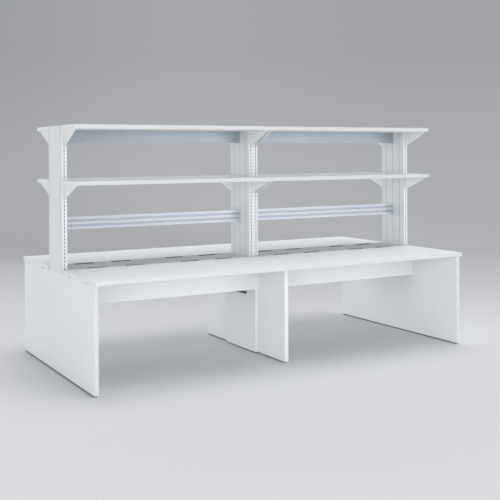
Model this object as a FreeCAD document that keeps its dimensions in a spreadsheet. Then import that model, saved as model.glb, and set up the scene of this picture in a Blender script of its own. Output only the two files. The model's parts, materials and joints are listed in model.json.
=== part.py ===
import FreeCAD, Part
import Sketcher
import os
import re

# Two-bay island test bench with a through shelf over a central cable trough.
# Millimetres, +Z up, X along the bench, Y across it, origin on the floor under the bench centre.
# The left front quarter is drawn and mirrored, because the bench is alike from all four sides.

# Driving sizes of the bench
DIMENSIONS = {
    # overall
    "bench_length": 3000,
    "bench_depth": 1600,
    "bench_height": 720,
    "overall_height": 1700,
    "trough_width": 320,
    # worktops
    "worktop_thickness": 30,
    "worktop_edge_radius": 2,
    # end panels and centre legs
    "floor_gap": 10,
    "panel_thickness": 32,
    "panel_setback": 30,
    "panel_edge_radius": 5,
    "leg_thickness": 32,
    "leg_setback": 190,
    # service chase in the middle
    "chase_width": 75,
    "chase_depth": 450,
    "chase_board": 18,
    "chase_side_board": 12,
    "chase_opening_width": 200,
    "chase_opening_drop": 52,
    "chase_opening_height": 210,
    "chase_opening_radius": 20,
    # aprons
    "apron_thickness": 18,
    "apron_drop": 206,
    # base strips
    "strip_width": 26,
    "strip_end_inset": 25,
    "chase_strip_inset": 6,
    # levelling feet
    "foot_pad_diameter": 18,
    "foot_pocket_clearance": 0.5,
    "foot_edge_chamfer": 2,
    "foot_end_distance": 70,
    "foot_stem_diameter": 8,
    "foot_stem_length": 42,
    "foot_bore_spare": 6,
    "thread_clearance": 0.05,
    "sleeve_diameter": 12,
    "sleeve_length": 30,
    "sleeve_clearance": 0.05,
    # worktop cleats and their screws
    "cleat_leg": 40,
    "cleat_thickness": 3,
    "cleat_length": 80,
    "cleat_end_distance": 300,
    "cleat_apron_distance": 57,
    "cleat_screw_diameter": 5,
    "cleat_screw_head_diameter": 9,
    "cleat_screw_head_height": 2.5,
    "cleat_screw_depth": 13,
    "cleat_screw_drop": 20,
    # plugs in the joints between the end panels and the worktops
    "plug_diameter": 12,
    "plug_depth": 10,
    "plug_end_distance": 130,
    "plug_apron_distance": 57,
    # one clearance round every plug, bolt and screw
    "bolt_clearance": 0.1,
    # column anchors and their bolts
    "bolt_diameter": 6,
    "bolt_head_diameter": 9,
    "bolt_head_height": 3,
    "anchor_width": 160,
    "anchor_below": 120,
    "anchor_above": 100,
    "anchor_gap": 0.4,
    "anchor_bolt_spread": 106,
    "anchor_bolt_drop": 57,
    # cable trays
    "tray_sheet": 1.5,
    "tray_drop": 100,
    "tray_flange": 36,
    "tray_wall_gap": 1,
    "tray_end_gap": 1,
    # trough ledges and covers
    "ledge_sheet": 2.5,
    "ledge_width": 14,
    "ledge_height": 21,
    "cover_thickness": 3,
    "cover_recess": 1,
    "cover_gap": 1,
    "cover_joint": 2,
    "notch_width": 150,
    "notch_depth": 50,
    "notch_spacing": 280,
    # columns
    "column_step": 8,
    "column_clearance": 15,
    "column_sheet": 1.6,
    "column_edge_radius": 1.4,
    "centre_column_width": 76,
    "centre_row_spread": 40,
    "seam_gap": 4,
    "slot_width": 5.5,
    "slot_height": 14,
    "slot_pitch": 25,
    "slot_foot_distance": 5,
    "side_slot_distance": 87,
    "column_cover_sheet": 1.2,
    "column_cover_inset": 40,
    "cap_thickness": 3,
    # shelves
    "shelf_depth": 830,
    "shelf_thickness": 28,
    "shelf_joint": 0.6,
    "shelf_notch_clearance": 1,
    "shelf_edge_radius": 1.5,
    # drop from the top shelf to the lower one, taken to the nearest slot
    "tier_drop": 375,
    # shelf brackets
    "bracket_sheet": 3,
    "bracket_reach": 235,
    "top_bracket_height": 116,
    "lower_bracket_height": 98,
    "bracket_foot": 15,
    "bracket_tip_height": 12,
    "bracket_flange_width": 24,
    "hook_distance": 20,
    # from the first hook to the second, taken to the nearest slot
    "hook_spacing": 50,
    "hook_neck": 8,
    "hook_tail_drop": 5,
    "hook_tail_thickness": 4,
    "hook_wall_gap": 0.4,
    # rails
    "rail_height": 88,
    "rail_depth": 32,
    "rail_wall": 3,
    # rise of the lower rail over the middle between the worktop and the lower shelf
    "lower_rail_rise": 15.5,
    "ridge_height": 18,
    "groove_depth": 8,
    "groove_bevel": 2,
    "lip_height": 6,
    "lip_depth": 2,
    "rail_plate_sheet": 3,
    "rail_plate_width": 44,
    "rail_plate_ear": 12,
    "rail_screw_diameter": 5,
    "rail_screw_head_diameter": 9,
    "rail_screw_head_height": 2.5,
    "rail_screw_spread": 28,
    "rail_screw_reach": 4,
    # one overrun for every cut
    "cut_overrun": 1,
}

# Places worked out from the driving sizes
HALF_LENGTH = "(bench_length / 2)"
HALF_DEPTH = "(bench_depth / 2)"
PANEL_INNER = "(bench_length / 2 - panel_thickness)"
PANEL_MIDDLE = "(bench_length / 2 - panel_thickness / 2)"
PANEL_END = "(bench_depth / 2 - panel_setback)"
LEG_END = "(bench_depth / 2 - leg_setback)"
LEG_SIDE = "(leg_thickness / 2)"
WORKTOP_UNDER = "(bench_height - worktop_thickness)"
CHASE_END = "(chase_depth / 2)"
CHASE_SIDE = "(chase_width / 2)"
APRON_FACE = "(chase_depth / 2 + apron_thickness)"
FOOT_BORE_TOP = "(floor_gap + foot_stem_length + foot_bore_spare)"
PANEL_FOOT = f"({PANEL_END} - foot_end_distance)"
LEG_FOOT = f"({LEG_END} - foot_end_distance)"
CLEAT_OUTER = f"({PANEL_END} - cleat_end_distance)"
CLEAT_INNER = f"({APRON_FACE} + cleat_apron_distance)"
CLEAT_LEG_MIDDLE = f"(({LEG_END} + {APRON_FACE}) / 2)"
CLEAT_SCREW_LEVEL = f"({WORKTOP_UNDER} - cleat_screw_drop)"
PLUG_OUTER = f"({PANEL_END} - plug_end_distance)"
PLUG_INNER = f"({APRON_FACE} + plug_apron_distance)"
ANCHOR_BOLT_LEVEL = f"({WORKTOP_UNDER} - anchor_bolt_drop)"
ANCHOR_BOLT_SIDE = "(anchor_bolt_spread / 2)"
ANCHOR_SHEET = "(column_step - column_sheet - anchor_gap)"
TROUGH_SIDE = "(trough_width / 2)"
COLUMN_FACE = "(trough_width / 2 - column_clearance)"
COLUMN_WIDTH = "(panel_thickness + column_step)"
COLUMN_INNER = f"(bench_length / 2 - {COLUMN_WIDTH})"
COLUMN_ROW = f"(bench_length / 2 - {COLUMN_WIDTH} / 2)"
COLUMN_TOP = "(overall_height - cap_thickness)"
CENTRE_SIDE = "(centre_column_width / 2)"
CENTRE_ROW = "(centre_row_spread / 2)"
TOP_SHELF_UNDER = "(overall_height - shelf_thickness)"
LOW_SHELF_UNDER = f"({TOP_SHELF_UNDER} - slot_pitch * round(tier_drop / slot_pitch))"
FIRST_SLOT = f"({TOP_SHELF_UNDER} - hook_distance)"
SLOT_COUNT = f"(floor(({FIRST_SLOT} - bench_height - slot_foot_distance) / slot_pitch) + 1)"
UPPER_RAIL_FOOT = f"({TOP_SHELF_UNDER} - rail_height)"
LOWER_RAIL_FOOT = f"((bench_height + {LOW_SHELF_UNDER} - rail_height) / 2 + lower_rail_rise)"
COVER_TOP = "(bench_height - cover_recess)"
LEDGE_TOP = f"({COVER_TOP} - cover_thickness)"

doc = FreeCAD.newDocument("TestBench")
sheet = doc.addObject("Spreadsheet::Sheet", "Dimensions")
for row, (alias, size) in enumerate(DIMENSIONS.items(), 1):
    sheet.set(f"A{row}", alias)
    sheet.set(f"B{row}", str(size))
    sheet.setAlias(f"B{row}", alias)
doc.recompute()

ACROSS_X = FreeCAD.Vector(1, 0, 0)
ACROSS_Y = FreeCAD.Vector(0, 1, 0)
QUARTER_TURN = 90
nodes = {}


# Ways of drawing a piece from the sheet
def formula(rule):
    """Turn a rule in the sheet's words into an expression of the document."""
    return re.sub(r"[a-z_]+", lambda word: sheet_word(word.group(0)), rule)


def sheet_word(word):
    return f"{sheet.Name}.{word}" if word in DIMENSIONS else word


def number(rule):
    """The present value of a rule."""
    value = sheet.evalExpression(formula(rule))
    return float(getattr(value, "Value", value))


def minus(rule):
    return f"(-1 * {rule})"


def node(label, thing):
    """Keep a finished piece under the name of its file."""
    thing.Label = label
    nodes[label] = thing
    return thing


def new_body(label):
    return doc.addObject("PartDesign::Body", label)


def fill_box(body, kind, span_x, span_y, span_z):
    """A block between two rules on each axis, added to the body or cut from it."""
    block = body.newObject(f"PartDesign::{kind}Box", f"{kind}Block")
    sides = (("Length", "x", span_x), ("Width", "y", span_y), ("Height", "z", span_z))
    for side, axis, (low, high) in sides:
        block.setExpression(side, formula(f"({high}) - ({low})"))
        block.setExpression(f"Placement.Base.{axis}", formula(low))
    body.Tip = block
    return block


def add_box(body, span_x, span_y, span_z):
    return fill_box(body, "Additive", span_x, span_y, span_z)


def cut_box(body, span_x, span_y, span_z):
    return fill_box(body, "Subtractive", span_x, span_y, span_z)


def fill_rod(body, kind, axis, centre, span, diameter):
    """A round bar along X or Z between two rules, added to the body or cut from it."""
    rod = body.newObject(f"PartDesign::{kind}Cylinder", f"{kind}Rod")
    rod.setExpression("Radius", formula(f"({diameter}) / 2"))
    low, high = span
    rod.setExpression("Height", formula(f"({high}) - ({low})"))
    if axis == "x":
        rod.Placement.Rotation = FreeCAD.Rotation(ACROSS_Y, QUARTER_TURN)
        places = (low, centre[0], centre[1])
    else:
        places = (centre[0], centre[1], low)
    for letter, place in zip("xyz", places):
        rod.setExpression(f"Placement.Base.{letter}", formula(place))
    body.Tip = rod
    return rod


def origin_feature(body, role):
    return next(item for item in body.Origin.OriginFeatures if item.Role == role)


def outline(body, plane, offset, points):
    """A closed sketch through points given as pairs of rules, on a plane moved by a rule."""
    sketch = body.newObject("Sketcher::SketchObject", f"{plane}Outline")
    sketch.AttachmentSupport = [(origin_feature(body, plane), "")]
    sketch.MapMode = "FlatFace"
    sketch.setExpression("AttachmentOffset.Base.z", formula(offset))
    spots = [FreeCAD.Vector(number(across), number(up), 0) for across, up in points]
    count = len(spots)
    for index in range(count):
        sketch.addGeometry(Part.LineSegment(spots[index], spots[(index + 1) % count]), False)
    for index in range(count):
        sketch.addConstraint(Sketcher.Constraint("Coincident", index, 2, (index + 1) % count, 1))
    for index, rules in enumerate(points):
        values = (spots[index].x, spots[index].y)
        for kind, rule, value in zip(("DistanceX", "DistanceY"), rules, values):
            place = sketch.addConstraint(Sketcher.Constraint(kind, -1, 1, index, 1, value))
            sketch.setExpression(f"Constraints[{place}]", formula(rule))
    return sketch


def pad(body, sketch, length):
    feature = body.newObject("PartDesign::Pad", "Pad")
    feature.Profile = sketch
    feature.setExpression("Length", formula(length))
    body.Tip = feature
    return feature


def turn(body, sketch):
    """Revolve a sketch about its own upright axis."""
    feature = body.newObject("PartDesign::Revolution", "Turn")
    feature.Profile = sketch
    feature.ReferenceAxis = (sketch, ["V_Axis"])
    body.Tip = feature
    return feature


def ease_edges(body, feature_kind, size_name, size, wanted):
    """Round or bevel the edges that a test picks out of the body's last shape."""
    doc.recompute()
    base = body.Tip
    names = [f"Edge{place}" for place, edge in enumerate(base.Shape.Edges, 1) if wanted(edge)]
    feature = body.newObject(f"PartDesign::{feature_kind}", feature_kind)
    feature.Base = (base, names)
    feature.setExpression(size_name, formula(size))
    body.Tip = feature
    return feature


def round_edges(body, radius, wanted):
    return ease_edges(body, "Fillet", "Radius", radius, wanted)


def runs_along(edge, axis):
    """True for a straight edge parallel to X, Y or Z."""
    first = edge.Vertexes[0].Point
    last = edge.Vertexes[-1].Point
    moved = [abs(getattr(last, letter) - getattr(first, letter)) for letter in "xyz"]
    return max(moved) == moved["xyz".index(axis)] and sum(moved) - max(moved) < Part.Precision.confusion()


def lies_at(edge, axis, *rules):
    """True where the middle of an edge lies on one of the given places."""
    middle = getattr(edge.CenterOfMass, axis)
    return any(abs(middle - number(rule)) < Part.Precision.approximation() for rule in rules)


def mirrored(source, normal):
    copy = doc.addObject("Part::Mirroring", f"{source.Name}Mirror")
    copy.Source = source
    copy.Normal = normal
    return copy


def both_ends(pieces):
    return pieces + [mirrored(piece, ACROSS_X) for piece in pieces]


def both_sides(pieces):
    return pieces + [mirrored(piece, ACROSS_Y) for piece in pieces]


def group(label, pieces):
    """Several like pieces kept in one node as separate solids."""
    bundle = doc.addObject("Part::Compound", label)
    bundle.Links = pieces
    return node(label, bundle)


def moved_to(body, place_x, place_y):
    body.setExpression("Placement.Base.x", formula(place_x))
    body.setExpression("Placement.Base.y", formula(place_y))
    return body


# End panels: boards on edge, bored for the feet, the cleat screws, the plugs and the column bolts
def cut_foot_bore(body, place_x, place_y):
    bore = "sleeve_diameter + 2 * sleeve_clearance"
    fill_rod(body, "Subtractive", "z", (place_x, place_y), ("floor_gap", FOOT_BORE_TOP), bore)


def cut_bolt_hole(body, place_y, level, inner):
    """A through hole with a counterbore for a flush head in the outer face."""
    outer = minus(HALF_LENGTH)
    head_seat = f"({outer} + bolt_head_height)"
    hole = "bolt_diameter + 2 * bolt_clearance"
    seat = "bolt_head_diameter + 2 * bolt_clearance"
    fill_rod(body, "Subtractive", "x", (place_y, level), (outer, inner), hole)
    fill_rod(body, "Subtractive", "x", (place_y, level), (outer, head_seat), seat)


def cut_screw_hole(body, place_y, wall, deep):
    """A blind hole for a cleat screw, from the wall's face to a place inside the board."""
    span = tuple(sorted((wall, deep), key=number))
    hole = "cleat_screw_diameter + 2 * bolt_clearance"
    fill_rod(body, "Subtractive", "x", (place_y, CLEAT_SCREW_LEVEL), span, hole)


def cut_plug_bore(body, place_y, span_x):
    """One half of the bore for a plug, whose axis lies in the joint."""
    bore = "plug_diameter + 2 * bolt_clearance"
    fill_rod(body, "Subtractive", "x", (place_y, WORKTOP_UNDER), span_x, bore)


CLEAT_PLACES = [minus(CLEAT_OUTER), minus(CLEAT_INNER), CLEAT_INNER, CLEAT_OUTER]
PLUG_PLACES = [minus(PLUG_OUTER), minus(PLUG_INNER), PLUG_INNER, PLUG_OUTER]
LEFT_PLUG_SPAN = (minus(HALF_LENGTH), f"{minus(HALF_LENGTH)} + plug_depth")
RIGHT_PLUG_SPAN = (f"{HALF_LENGTH} - plug_depth", HALF_LENGTH)
ANCHOR_BOLT_PLACES = [minus(ANCHOR_BOLT_SIDE), ANCHOR_BOLT_SIDE]
PANEL_FOOT_PLACES = {"front": minus(PANEL_FOOT), "middle": "0", "rear": PANEL_FOOT}

panel = new_body("EndPanel")
add_box(
    panel,
    (minus(HALF_LENGTH), minus(PANEL_INNER)),
    (minus(PANEL_END), PANEL_END),
    ("floor_gap", WORKTOP_UNDER),
)
round_edges(panel, "panel_edge_radius", lambda edge: runs_along(edge, "z"))
for foot_y in PANEL_FOOT_PLACES.values():
    cut_foot_bore(panel, minus(PANEL_MIDDLE), foot_y)
for screw_y in CLEAT_PLACES:
    cut_screw_hole(panel, screw_y, minus(PANEL_INNER), f"({minus(PANEL_INNER)} - cleat_screw_depth)")
for plug_y in PLUG_PLACES:
    cut_plug_bore(panel, plug_y, LEFT_PLUG_SPAN)
for bolt_y in ANCHOR_BOLT_PLACES:
    cut_bolt_hole(panel, bolt_y, ANCHOR_BOLT_LEVEL, minus(PANEL_INNER))
node("end_panel_left", panel)
node("end_panel_right", mirrored(panel, ACROSS_X))

# Centre legs: boards set back from the worktop edge, butted on the chase
leg = new_body("CentreLeg")
add_box(
    leg,
    (minus(LEG_SIDE), LEG_SIDE),
    (minus(LEG_END), minus(CHASE_END)),
    ("floor_gap", WORKTOP_UNDER),
)


def is_leg_corner(edge):
    return runs_along(edge, "z") and lies_at(edge, "y", minus(LEG_END))


round_edges(leg, "panel_edge_radius", is_leg_corner)
cut_foot_bore(leg, "0", minus(LEG_FOOT))
cut_screw_hole(leg, minus(CLEAT_LEG_MIDDLE), LEG_SIDE, f"({LEG_SIDE} - cleat_screw_depth)")
cut_screw_hole(leg, minus(CLEAT_LEG_MIDDLE), minus(LEG_SIDE), f"({minus(LEG_SIDE)} + cleat_screw_depth)")
node("centre_leg_front", leg)
node("centre_leg_rear", mirrored(leg, ACROSS_Y))

# Service chase: a hollow upright box of four boards, open to both bays for cables
CHASE_INNER_END = "(chase_depth / 2 - chase_board)"
CHASE_INNER_SIDE = "(chase_width / 2 - chase_side_board)"
CHASE_OPENING_TOP = f"({WORKTOP_UNDER} - chase_opening_drop)"
CHASE_OPENING_FOOT = f"({CHASE_OPENING_TOP} - chase_opening_height)"
CHASE_OPENING_SIDE = "(chase_opening_width / 2)"

chase_board = new_body("ChaseBoard")
add_box(
    chase_board,
    (minus(CHASE_SIDE), CHASE_SIDE),
    (minus(CHASE_END), minus(CHASE_INNER_END)),
    ("floor_gap", WORKTOP_UNDER),
)
node("chase_front_board", chase_board)
node("chase_rear_board", mirrored(chase_board, ACROSS_Y))

chase_side = new_body("ChaseSide")
add_box(
    chase_side,
    (minus(CHASE_SIDE), minus(CHASE_INNER_SIDE)),
    (minus(CHASE_INNER_END), CHASE_INNER_END),
    ("floor_gap", WORKTOP_UNDER),
)
cut_box(
    chase_side,
    (f"{minus(CHASE_SIDE)} - cut_overrun", f"{minus(CHASE_INNER_SIDE)} + cut_overrun"),
    (minus(CHASE_OPENING_SIDE), CHASE_OPENING_SIDE),
    (CHASE_OPENING_FOOT, CHASE_OPENING_TOP),
)


def is_opening_corner(edge):
    return runs_along(edge, "x") and lies_at(edge, "y", minus(CHASE_OPENING_SIDE), CHASE_OPENING_SIDE)


round_edges(chase_side, "chase_opening_radius", is_opening_corner)
node("chase_side_left", chase_side)
node("chase_side_right", mirrored(chase_side, ACROSS_X))

# Worktops: one long board on each side of the trough, with softened top and front edges
worktop = new_body("Worktop")
add_box(
    worktop,
    (minus(HALF_LENGTH), HALF_LENGTH),
    (minus(HALF_DEPTH), minus(TROUGH_SIDE)),
    (WORKTOP_UNDER, "bench_height"),
)


def is_worktop_rim(edge):
    long_rim = runs_along(edge, "x") and lies_at(edge, "y", minus(HALF_DEPTH))
    end_rim = runs_along(edge, "y") and lies_at(edge, "z", "bench_height")
    corner = runs_along(edge, "z") and lies_at(edge, "y", minus(HALF_DEPTH))
    return long_rim or end_rim or corner


round_edges(worktop, "worktop_edge_radius", is_worktop_rim)
for plug_y in (minus(PLUG_OUTER), minus(PLUG_INNER)):
    cut_plug_bore(worktop, plug_y, LEFT_PLUG_SPAN)
    cut_plug_bore(worktop, plug_y, RIGHT_PLUG_SPAN)
node("worktop_front", worktop)
node("worktop_rear", mirrored(worktop, ACROSS_Y))

# Aprons: upright boards under the worktops, one to each side of each bay
apron = new_body("Apron")
add_box(
    apron,
    (minus(PANEL_INNER), minus(LEG_SIDE)),
    (minus(APRON_FACE), minus(CHASE_END)),
    (f"{WORKTOP_UNDER} - apron_drop", WORKTOP_UNDER),
)
apron_right = mirrored(apron, ACROSS_X)
node("apron_front_left", apron)
node("apron_front_right", apron_right)
node("apron_rear_left", mirrored(apron, ACROSS_Y))
node("apron_rear_right", mirrored(apron_right, ACROSS_Y))

# Base strips: dark glides under every upright, with pockets that take the feet
FOOT_POCKET = "foot_pad_diameter + 2 * foot_pocket_clearance"
FOOT_POCKET_SPAN = ("-cut_overrun", "floor_gap + cut_overrun")

strip = new_body("EndStrip")
add_box(
    strip,
    (f"{minus(PANEL_MIDDLE)} - strip_width / 2", f"{minus(PANEL_MIDDLE)} + strip_width / 2"),
    (f"{minus(PANEL_END)} + strip_end_inset", f"{PANEL_END} - strip_end_inset"),
    ("0", "floor_gap"),
)
for foot_y in PANEL_FOOT_PLACES.values():
    fill_rod(strip, "Subtractive", "z", (minus(PANEL_MIDDLE), foot_y), FOOT_POCKET_SPAN, FOOT_POCKET)
node("base_strip_left", strip)
node("base_strip_right", mirrored(strip, ACROSS_X))

leg_strip = new_body("LegStrip")
add_box(
    leg_strip,
    ("-strip_width / 2", "strip_width / 2"),
    (f"{minus(LEG_END)} + strip_end_inset", minus(CHASE_END)),
    ("0", "floor_gap"),
)
fill_rod(leg_strip, "Subtractive", "z", ("0", minus(LEG_FOOT)), FOOT_POCKET_SPAN, FOOT_POCKET)
chase_strip = new_body("ChaseStrip")
add_box(
    chase_strip,
    (f"{minus(CHASE_SIDE)} + chase_strip_inset", f"{CHASE_SIDE} - chase_strip_inset"),
    (minus(CHASE_END), CHASE_END),
    ("0", "floor_gap"),
)
group("base_strip_centre", both_sides([leg_strip]) + [chase_strip])

# Levelling feet: a pad on a threaded stem, screwed fully in, with a steel sleeve in the board
FOOT_PLACES = {f"left_{where}": (minus(PANEL_MIDDLE), spot) for where, spot in PANEL_FOOT_PLACES.items()}
FOOT_PLACES.update({f"right_{where}": (PANEL_MIDDLE, spot) for where, spot in PANEL_FOOT_PLACES.items()})
FOOT_PLACES.update({"centre_front": ("0", minus(LEG_FOOT)), "centre_rear": ("0", LEG_FOOT)})
FOOT_OUTLINE = [
    ("0", "0"),
    ("foot_pad_diameter / 2 - foot_edge_chamfer", "0"),
    ("foot_pad_diameter / 2", "foot_edge_chamfer"),
    ("foot_pad_diameter / 2", "floor_gap"),
    ("foot_stem_diameter / 2", "floor_gap"),
    ("foot_stem_diameter / 2", "floor_gap + foot_stem_length"),
    ("0", "floor_gap + foot_stem_length"),
]
SLEEVE_BORE = "(foot_stem_diameter / 2 + thread_clearance)"
SLEEVE_OUTLINE = [
    (SLEEVE_BORE, "floor_gap"),
    ("sleeve_diameter / 2", "floor_gap"),
    ("sleeve_diameter / 2", "floor_gap + sleeve_length"),
    (SLEEVE_BORE, "floor_gap + sleeve_length"),
]
sleeves = []
for where, (foot_x, foot_y) in FOOT_PLACES.items():
    foot = new_body("Foot")
    turn(foot, outline(foot, "XZ_Plane", "0", FOOT_OUTLINE))
    node(f"foot_{where}", moved_to(foot, foot_x, foot_y))
    sleeve = new_body("Sleeve")
    turn(sleeve, outline(sleeve, "XZ_Plane", "0", SLEEVE_OUTLINE))
    sleeves.append(moved_to(sleeve, foot_x, foot_y))
group("foot_sleeves", sleeves)


# Worktop cleats: steel angles in the corners under the worktops, screwed to the boards
def cleat(wall, place_y):
    """An angle on the wall that faces +X at the given place."""
    body = new_body("Cleat")
    span_y = (f"{place_y} - cleat_length / 2", f"{place_y} + cleat_length / 2")
    flat_levels = (f"{WORKTOP_UNDER} - cleat_thickness", WORKTOP_UNDER)
    upright_levels = (f"{WORKTOP_UNDER} - cleat_leg", WORKTOP_UNDER)
    add_box(body, (wall, f"{wall} + cleat_leg"), span_y, flat_levels)
    add_box(body, (wall, f"{wall} + cleat_thickness"), span_y, upright_levels)
    span = (f"{wall} - cut_overrun", f"{wall} + cleat_thickness + cut_overrun")
    hole = "cleat_screw_diameter + 2 * bolt_clearance"
    fill_rod(body, "Subtractive", "x", (place_y, CLEAT_SCREW_LEVEL), span, hole)
    return body


def cleat_screw(wall, place_y):
    """A screw through the cleat into the board, with its head on the cleat."""
    body = new_body("CleatScrew")
    seat = f"({wall} + cleat_thickness)"
    head = f"({seat} + cleat_screw_head_height)"
    centre = (place_y, CLEAT_SCREW_LEVEL)
    fill_rod(body, "Additive", "x", centre, (seat, head), "cleat_screw_head_diameter")
    fill_rod(body, "Additive", "x", centre, (f"{wall} - cleat_screw_depth", seat), "cleat_screw_diameter")
    return body


cleat_walls = [(minus(PANEL_INNER), place) for place in CLEAT_PLACES]
cleat_walls += [(LEG_SIDE, place) for place in (minus(CLEAT_LEG_MIDDLE), CLEAT_LEG_MIDDLE)]
group("worktop_cleats", both_ends([cleat(wall, place) for wall, place in cleat_walls]))
group("cleat_screws", both_ends([cleat_screw(wall, place) for wall, place in cleat_walls]))


# Joint plugs: round plugs let in flush where the worktop ends lie on the end panels
def joint_plug(place_y):
    body = new_body("JointPlug")
    fill_rod(body, "Additive", "x", (place_y, WORKTOP_UNDER), LEFT_PLUG_SPAN, "plug_diameter")
    return body


group("joint_plugs", both_ends([joint_plug(place) for place in PLUG_PLACES]))


# Panel bolts: flush heads on the outer faces, holding the column anchors
def panel_bolt(place_y):
    body = new_body("PanelBolt")
    outer = minus(HALF_LENGTH)
    seat = f"({outer} + bolt_head_height)"
    tip = f"({minus(PANEL_INNER)} + {ANCHOR_SHEET})"
    fill_rod(body, "Additive", "x", (place_y, ANCHOR_BOLT_LEVEL), (outer, seat), "bolt_head_diameter")
    fill_rod(body, "Additive", "x", (place_y, ANCHOR_BOLT_LEVEL), (outer, tip), "bolt_diameter")
    return body


group("panel_bolts", both_ends([panel_bolt(place) for place in ANCHOR_BOLT_PLACES]))


# Column anchors: steel plates from the end panels and the chase up into the hollow columns
def anchor(wall, bolted):
    """A plate on the wall that faces +X at the given place."""
    body = new_body("Anchor")
    far = f"({wall} + {ANCHOR_SHEET})"
    levels = (f"{WORKTOP_UNDER} - anchor_below", f"{WORKTOP_UNDER} + anchor_above")
    add_box(body, (wall, far), ("-anchor_width / 2", "anchor_width / 2"), levels)
    if bolted:
        span = (f"{wall} - cut_overrun", f"{far} + cut_overrun")
        for place in ANCHOR_BOLT_PLACES:
            hole = "bolt_diameter + 2 * bolt_clearance"
            fill_rod(body, "Subtractive", "x", (place, ANCHOR_BOLT_LEVEL), span, hole)
    return body


group("column_anchors", both_ends([anchor(minus(PANEL_INNER), True), anchor(minus(CHASE_INNER_SIDE), False)]))

# Cable trays: folded sheet channels hung under the worktops along the trough
TRAY_SIDE = f"({TROUGH_SIDE} - tray_wall_gap)"
TRAY_LIP = f"({TRAY_SIDE} + tray_flange)"
TRAY_FLOOR = f"({WORKTOP_UNDER} - tray_drop)"
TRAY_START = f"({minus(PANEL_INNER)} + {ANCHOR_SHEET} + tray_end_gap)"
TRAY_STOP = f"({minus(CHASE_SIDE)} - tray_end_gap)"

tray = new_body("Tray")
tray_outline = outline(tray, "YZ_Plane", TRAY_START, [
    (minus(TRAY_LIP), WORKTOP_UNDER),
    (f"{minus(TRAY_SIDE)} + tray_sheet", WORKTOP_UNDER),
    (f"{minus(TRAY_SIDE)} + tray_sheet", f"{TRAY_FLOOR} + tray_sheet"),
    (f"{TRAY_SIDE} - tray_sheet", f"{TRAY_FLOOR} + tray_sheet"),
    (f"{TRAY_SIDE} - tray_sheet", WORKTOP_UNDER),
    (TRAY_LIP, WORKTOP_UNDER),
    (TRAY_LIP, f"{WORKTOP_UNDER} - tray_sheet"),
    (TRAY_SIDE, f"{WORKTOP_UNDER} - tray_sheet"),
    (TRAY_SIDE, TRAY_FLOOR),
    (minus(TRAY_SIDE), TRAY_FLOOR),
    (minus(TRAY_SIDE), f"{WORKTOP_UNDER} - tray_sheet"),
    (minus(TRAY_LIP), f"{WORKTOP_UNDER} - tray_sheet"),
])
pad(tray, tray_outline, f"{TRAY_STOP} - {TRAY_START}")
node("cable_tray_left", tray)
node("cable_tray_right", mirrored(tray, ACROSS_X))

# Trough ledges: profiles that line the inner worktop edges between the columns and carry the covers
COVER_START = f"({minus(COLUMN_INNER)} + cover_gap)"
COVER_STOP = f"({minus(CENTRE_SIDE)} - cover_gap)"
LEDGE_INNER = f"({minus(TROUGH_SIDE)} + ledge_width)"
LEDGE_BACK = f"({minus(TROUGH_SIDE)} + ledge_sheet)"

ledge = new_body("Ledge")
ledge_outline = outline(ledge, "YZ_Plane", COVER_START, [
    (minus(TROUGH_SIDE), f"{LEDGE_TOP} - ledge_height"),
    (LEDGE_BACK, f"{LEDGE_TOP} - ledge_height"),
    (LEDGE_BACK, f"{LEDGE_TOP} - ledge_sheet"),
    (LEDGE_INNER, f"{LEDGE_TOP} - ledge_sheet"),
    (LEDGE_INNER, LEDGE_TOP),
    (LEDGE_BACK, LEDGE_TOP),
    (LEDGE_BACK, COVER_TOP),
    (minus(TROUGH_SIDE), COVER_TOP),
])
pad(ledge, ledge_outline, f"{COVER_STOP} - {COVER_START}")
group("trough_ledges", both_ends(both_sides([ledge])))

# Trough covers: grey plates, two to a bay, with two cable notches in each long edge
COVER_LENGTH = f"(({COVER_STOP} - {COVER_START} - cover_joint) / 2)"
COVER_SIDE = f"({TROUGH_SIDE} - ledge_sheet - cover_gap)"


def cover_edge(start, middle, edge, inward):
    """Points along one long edge, with its two notches, from the low X end to the high one."""
    points = [(start, edge)]
    for offset in ("-notch_spacing / 2", "notch_spacing / 2"):
        near = f"{middle} + {offset} - notch_width / 2"
        far = f"{middle} + {offset} + notch_width / 2"
        deep = f"{edge} {inward} notch_depth"
        points += [(near, edge), (near, deep), (far, deep), (far, edge)]
    return points + [(f"{start} + {COVER_LENGTH}", edge)]


def trough_cover(start):
    body = new_body("TroughCover")
    middle = f"({start} + {COVER_LENGTH} / 2)"
    front = cover_edge(start, middle, minus(COVER_SIDE), "+")
    rear = cover_edge(start, middle, COVER_SIDE, "-")
    pad(body, outline(body, "XY_Plane", LEDGE_TOP, front + rear[::-1]), "cover_thickness")
    return body


outer_cover = trough_cover(COVER_START)
inner_cover = trough_cover(f"({COVER_START} + {COVER_LENGTH} + cover_joint)")
node("trough_cover_left_outer", outer_cover)
node("trough_cover_left_inner", inner_cover)
node("trough_cover_right_inner", mirrored(inner_cover, ACROSS_X))
node("trough_cover_right_outer", mirrored(outer_cover, ACROSS_X))

# Columns: a front and a rear folded shell that face each other at a seam, with rows of slots
SHELL_SEAM = "(-seam_gap / 2)"
END_SHELL_OUTER = f"({minus(HALF_LENGTH)} + column_cover_sheet)"
SIDE_SLOT_ROW = "(-side_slot_distance)"
SCREW_ROW = "(rail_screw_spread / 2)"
RAIL_SCREW_LEVELS = [f"({foot} - rail_plate_ear / 2)" for foot in (UPPER_RAIL_FOOT, LOWER_RAIL_FOOT)]
SCREW_HOLE = "rail_screw_diameter + 2 * bolt_clearance"


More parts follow.
